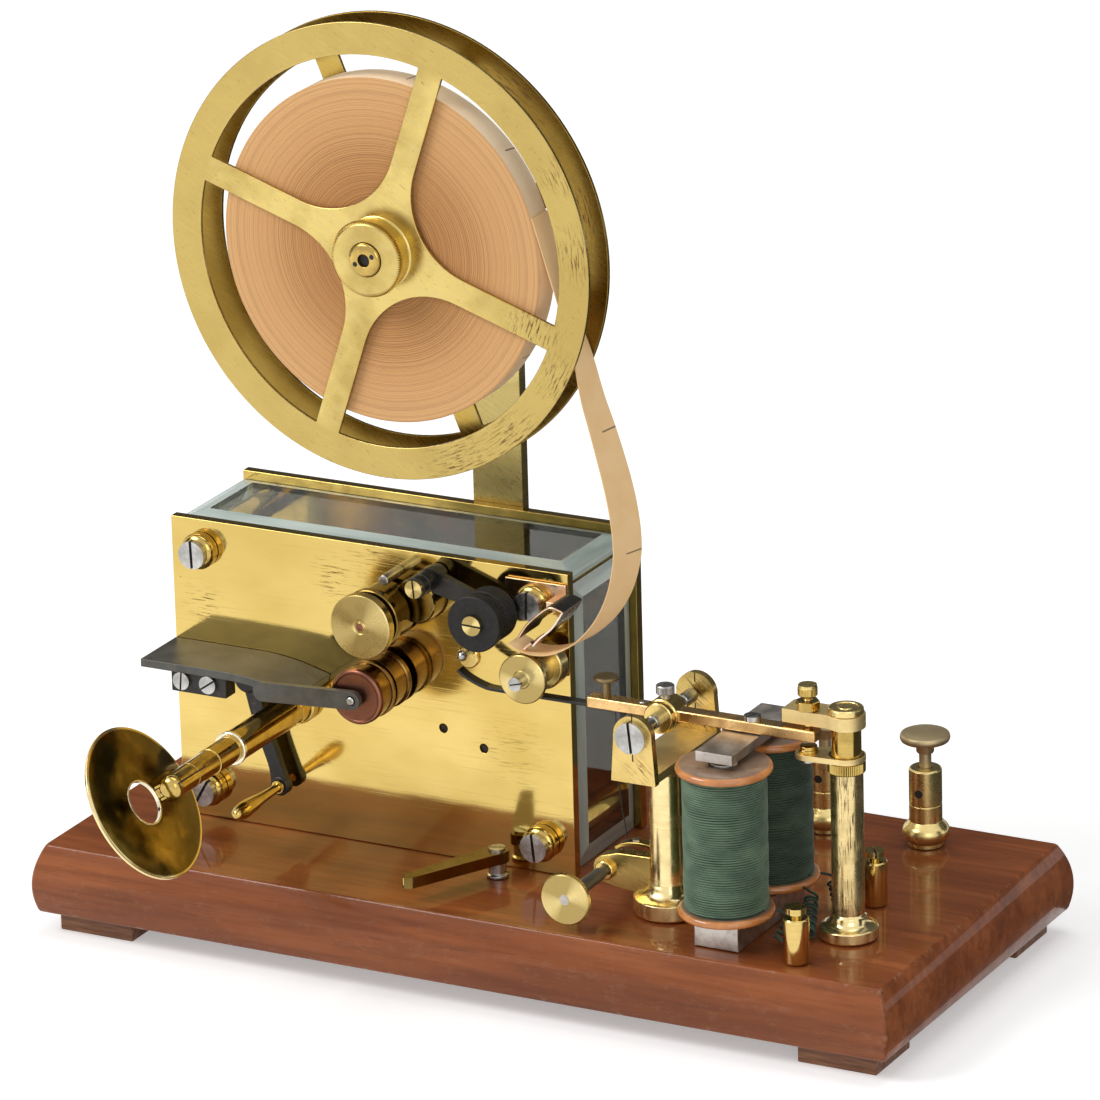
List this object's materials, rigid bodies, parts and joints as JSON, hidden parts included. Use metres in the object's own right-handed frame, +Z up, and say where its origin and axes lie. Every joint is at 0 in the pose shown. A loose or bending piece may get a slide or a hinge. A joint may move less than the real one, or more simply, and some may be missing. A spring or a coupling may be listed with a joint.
{
  "type": "telegraph ink writer",
  "caption": "Clockwork telegraph ink writer on a wooden board: paper reel, brass and glass case, feed rollers, ink wheel, electromagnet and contact pillar",
  "frame": {"origin": "centre of the footprint, on the table under the feet", "axes": "+X right along the board as seen from the front, +Y toward the back, +Z up"},
  "size_m": [0.34, 0.2326, 0.3463],
  "materials": {
    "mahogany": "polished reddish brown",
    "pale_wood": "worn lighter wood",
    "brass": "polished with fine scratches",
    "old_brass": "darkened and scratched",
    "copper_bronze": "reddish bronze, satin",
    "bright_steel": "bright turned steel",
    "dark_steel": "blued and polished",
    "soft_iron": "grey satin iron",
    "glass": "clear with a green edge",
    "paper": "matte paper",
    "green_silk": "silk covered wire",
    "bobbin_wood": "stained and waxed",
    "ink_black": "inky felt"
  },
  "bodies": {
    "base": {"back_plate": "brass", "base_board": "mahogany", "binding_post_1": "brass", "binding_post_2": "brass", "bobbin_back": "bobbin_wood", "bobbin_front": "bobbin_wood", "case_bolt_bottom_left": "brass", "case_bolt_bottom_right": "brass", "case_bolt_top_left": "brass", "case_bolt_top_right": "brass", "contact_arm": "brass", "contact_pillar": "brass", "foot_back_left": "pale_wood", "foot_back_right": "pale_wood", "foot_front_left": "pale_wood", "foot_front_right": "pale_wood", "fork_arm": "dark_steel", "front_plate": "brass", "glass_left": "glass", "glass_right": "glass", "glass_top": "glass", "lead_back": "green_silk", "lead_front": "green_silk", "lead_middle": "green_silk", "magnet_core": "soft_iron", "paper_tape": "paper", "reel_axle": "old_brass", "reel_post": "old_brass", "return_spring": "old_brass", "tape_guide": "copper_bronze", "tape_table": "dark_steel", "terminal_1": "brass", "terminal_2": "brass", "winding_back": "green_silk", "winding_front": "green_silk", "yoke": "brass", "yoke_pillar": "brass"},
    "roller_train": {"lower_roller": "copper_bronze"},
    "upper_feed": {"upper_roller": "brass"},
    "second_arbor": {"centre_wheel": "bright_steel"},
    "barrel": {"spring_barrel": "old_brass"},
    "governor": {"governor_fan": "bright_steel"},
    "reel": {"reel_flange_front": "old_brass", "reel_flange_back": "old_brass", "paper_roll": "paper"},
    "nut": {"reel_nut": "old_brass"},
    "spool": {"take_up_spool": "brass"},
    "flange": {"spool_flange": "brass"},
    "winder": {"winding_lever": "dark_steel"},
    "handle": {"winding_handle": "brass"},
    "inker": {"ink_arm": "dark_steel"},
    "inking_wheel": {"ink_roller": "ink_black"},
    "writing_wheel": {"writing_roller": "brass"},
    "starter": {"start_lever": "brass"},
    "lever": {"armature_lever": "brass", "armature": "soft_iron"},
    "adjuster": {"adjusting_screw": "brass"},
    "contact": {"contact_screw": "brass"},
    "clamp_1": {"post_screw_1": "brass"},
    "clamp_2": {"post_screw_2": "brass"}
  },
  "joints": [
    {"name": "roller_spin", "type": "hinge", "parent": "base", "child": "roller_train", "pos_m": [-0.049, 0.0121, 0.09879], "axis": [0, 1, 0], "continuous": true},
    {"name": "upper_roller_spin", "type": "hinge", "parent": "base", "child": "upper_feed", "pos_m": [-0.0464, 0.0121, 0.12549], "axis": [0, 1, 0], "continuous": true},
    {"name": "second_arbor_spin", "type": "hinge", "parent": "base", "child": "second_arbor", "pos_m": [-0.07271, 0.0121, 0.10071], "axis": [0, 1, 0], "continuous": true},
    {"name": "barrel_spin", "type": "hinge", "parent": "base", "child": "barrel", "pos_m": [-0.1029, 0.0121, 0.0921], "axis": [0, 1, 0], "continuous": true},
    {"name": "governor_spin", "type": "hinge", "parent": "base", "child": "governor", "pos_m": [-0.02497, 0.0121, 0.09456], "axis": [0, 1, 0], "continuous": true},
    {"name": "reel_spin", "type": "hinge", "parent": "base", "child": "reel", "pos_m": [-0.0334, 0.0121, 0.2646], "axis": [0, 1, 0], "continuous": true},
    {"name": "reel_nut_turn", "type": "hinge", "parent": "base", "child": "nut", "pos_m": [-0.0334, 0.0121, 0.2646], "axis": [0, 1, 0], "continuous": true},
    {"name": "spool_spin", "type": "hinge", "parent": "base", "child": "spool", "pos_m": [-0.0848, 0.0121, 0.0836], "axis": [0, 1, 0], "continuous": true},
    {"name": "flange_swing", "type": "hinge", "parent": "spool", "child": "flange", "pos_m": [-0.09023, -0.0789, 0.0802], "axis": [-0.5299, 0, 0.848], "range_deg": [0, 90]},
    {"name": "winding_swing", "type": "hinge", "parent": "base", "child": "winder", "pos_m": [-0.1029, 0.0121, 0.0921], "axis": [0, 1, 0], "range_deg": [-20, 25]},
    {"name": "handle_spin", "type": "hinge", "parent": "winder", "child": "handle", "pos_m": [-0.0917, 0.0121, 0.0526], "axis": [0, 1, 0], "continuous": true},
    {"name": "ink_arm_lift", "type": "hinge", "parent": "base", "child": "inker", "pos_m": [-0.02709, 0.0121, 0.1407], "axis": [0, 1, 0], "range_deg": [-40, 0]},
    {"name": "ink_roller_spin", "type": "hinge", "parent": "inker", "child": "inking_wheel", "pos_m": [-0.001, 0.0121, 0.133], "axis": [0, 1, 0], "continuous": true},
    {"name": "writing_roller_spin", "type": "hinge", "parent": "base", "child": "writing_wheel", "pos_m": [0.0175, 0.0121, 0.1154], "axis": [0, 1, 0], "continuous": true},
    {"name": "start_lever_turn", "type": "hinge", "parent": "base", "child": "starter", "pos_m": [-0.0021, 0.0026, 0.0336], "axis": [0, 0, 1], "range_deg": [-20, 30]},
    {"name": "armature_rock", "type": "hinge", "parent": "base", "child": "lever", "pos_m": [0.0684, 0.0121, 0.1073], "axis": [0, 1, 0], "range_deg": [0, 1.8], "stiffness_Nm_per_rad": 0.6, "springref_deg": -2.01},
    {"name": "adjusting_screw_turn", "type": "hinge", "parent": "base", "child": "adjuster", "pos_m": [0.0451, 0.0121, 0.0466], "axis": [0, 1, 0], "continuous": true},
    {"name": "contact_screw_turn", "type": "hinge", "parent": "base", "child": "contact", "pos_m": [0.1224, -0.0004, 0.0336], "axis": [0, 0, 1], "continuous": true},
    {"name": "post_screw_1_turn", "type": "hinge", "parent": "base", "child": "clamp_1", "pos_m": [0.1229, 0.0921, 0.0336], "axis": [0, 0, 1], "continuous": true},
    {"name": "post_screw_2_turn", "type": "hinge", "parent": "base", "child": "clamp_2", "pos_m": [0.0839, 0.0911, 0.0336], "axis": [0, 0, 1], "continuous": true}
  ],
  "couplings": [
    {"joint": "second_arbor_spin", "follows": "roller_spin", "ratio": -0.20628},
    {"joint": "barrel_spin", "follows": "roller_spin", "ratio": 0.030564},
    {"joint": "governor_spin", "follows": "roller_spin", "ratio": -7}
  ]
}
